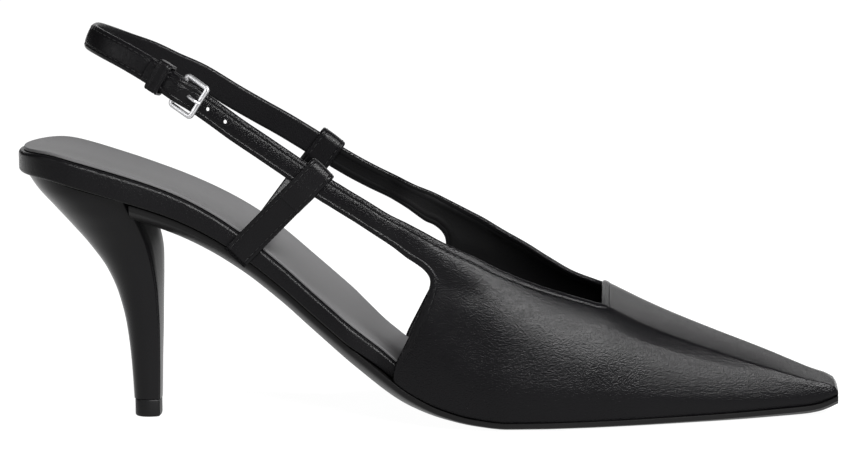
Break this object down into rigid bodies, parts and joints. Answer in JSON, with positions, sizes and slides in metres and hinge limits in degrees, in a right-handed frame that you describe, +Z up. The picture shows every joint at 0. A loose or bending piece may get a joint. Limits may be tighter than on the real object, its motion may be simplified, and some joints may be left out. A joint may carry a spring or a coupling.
{
  "type": "slingback pump",
  "caption": "Right shoe with a long narrow square toe, curved high heel, side cut-outs with leather tabs and a buckled strap round the back of the heel.",
  "frame": {"origin": "on the floor under the middle of the shoe's box", "axes": "+X from the heel to the toe, +Y towards the inner side of the foot, +Z up"},
  "size_m": [0.2492, 0.0782, 0.1211],
  "materials": {
    "upper_leather": "smooth satin black calf",
    "sole_leather": "smooth black sole leather",
    "heel_cover": "smooth black leather cover",
    "top_piece": "matt black hard rubber",
    "sock_lining": "smooth glossy mid grey",
    "buckle_metal": "polished silver-coloured metal"
  },
  "bodies": {
    "root": {"outsole": "sole_leather", "heel": "heel_cover", "heel_tip": "top_piece", "footbed": "upper_leather", "sock": "sock_lining", "upper": "upper_leather", "sling": "upper_leather", "tab_outer": "upper_leather", "tab_inner": "upper_leather", "keeper": "upper_leather", "buckle_frame": "buckle_metal", "buckle_prong": "buckle_metal"}
  },
  "joints": []
}
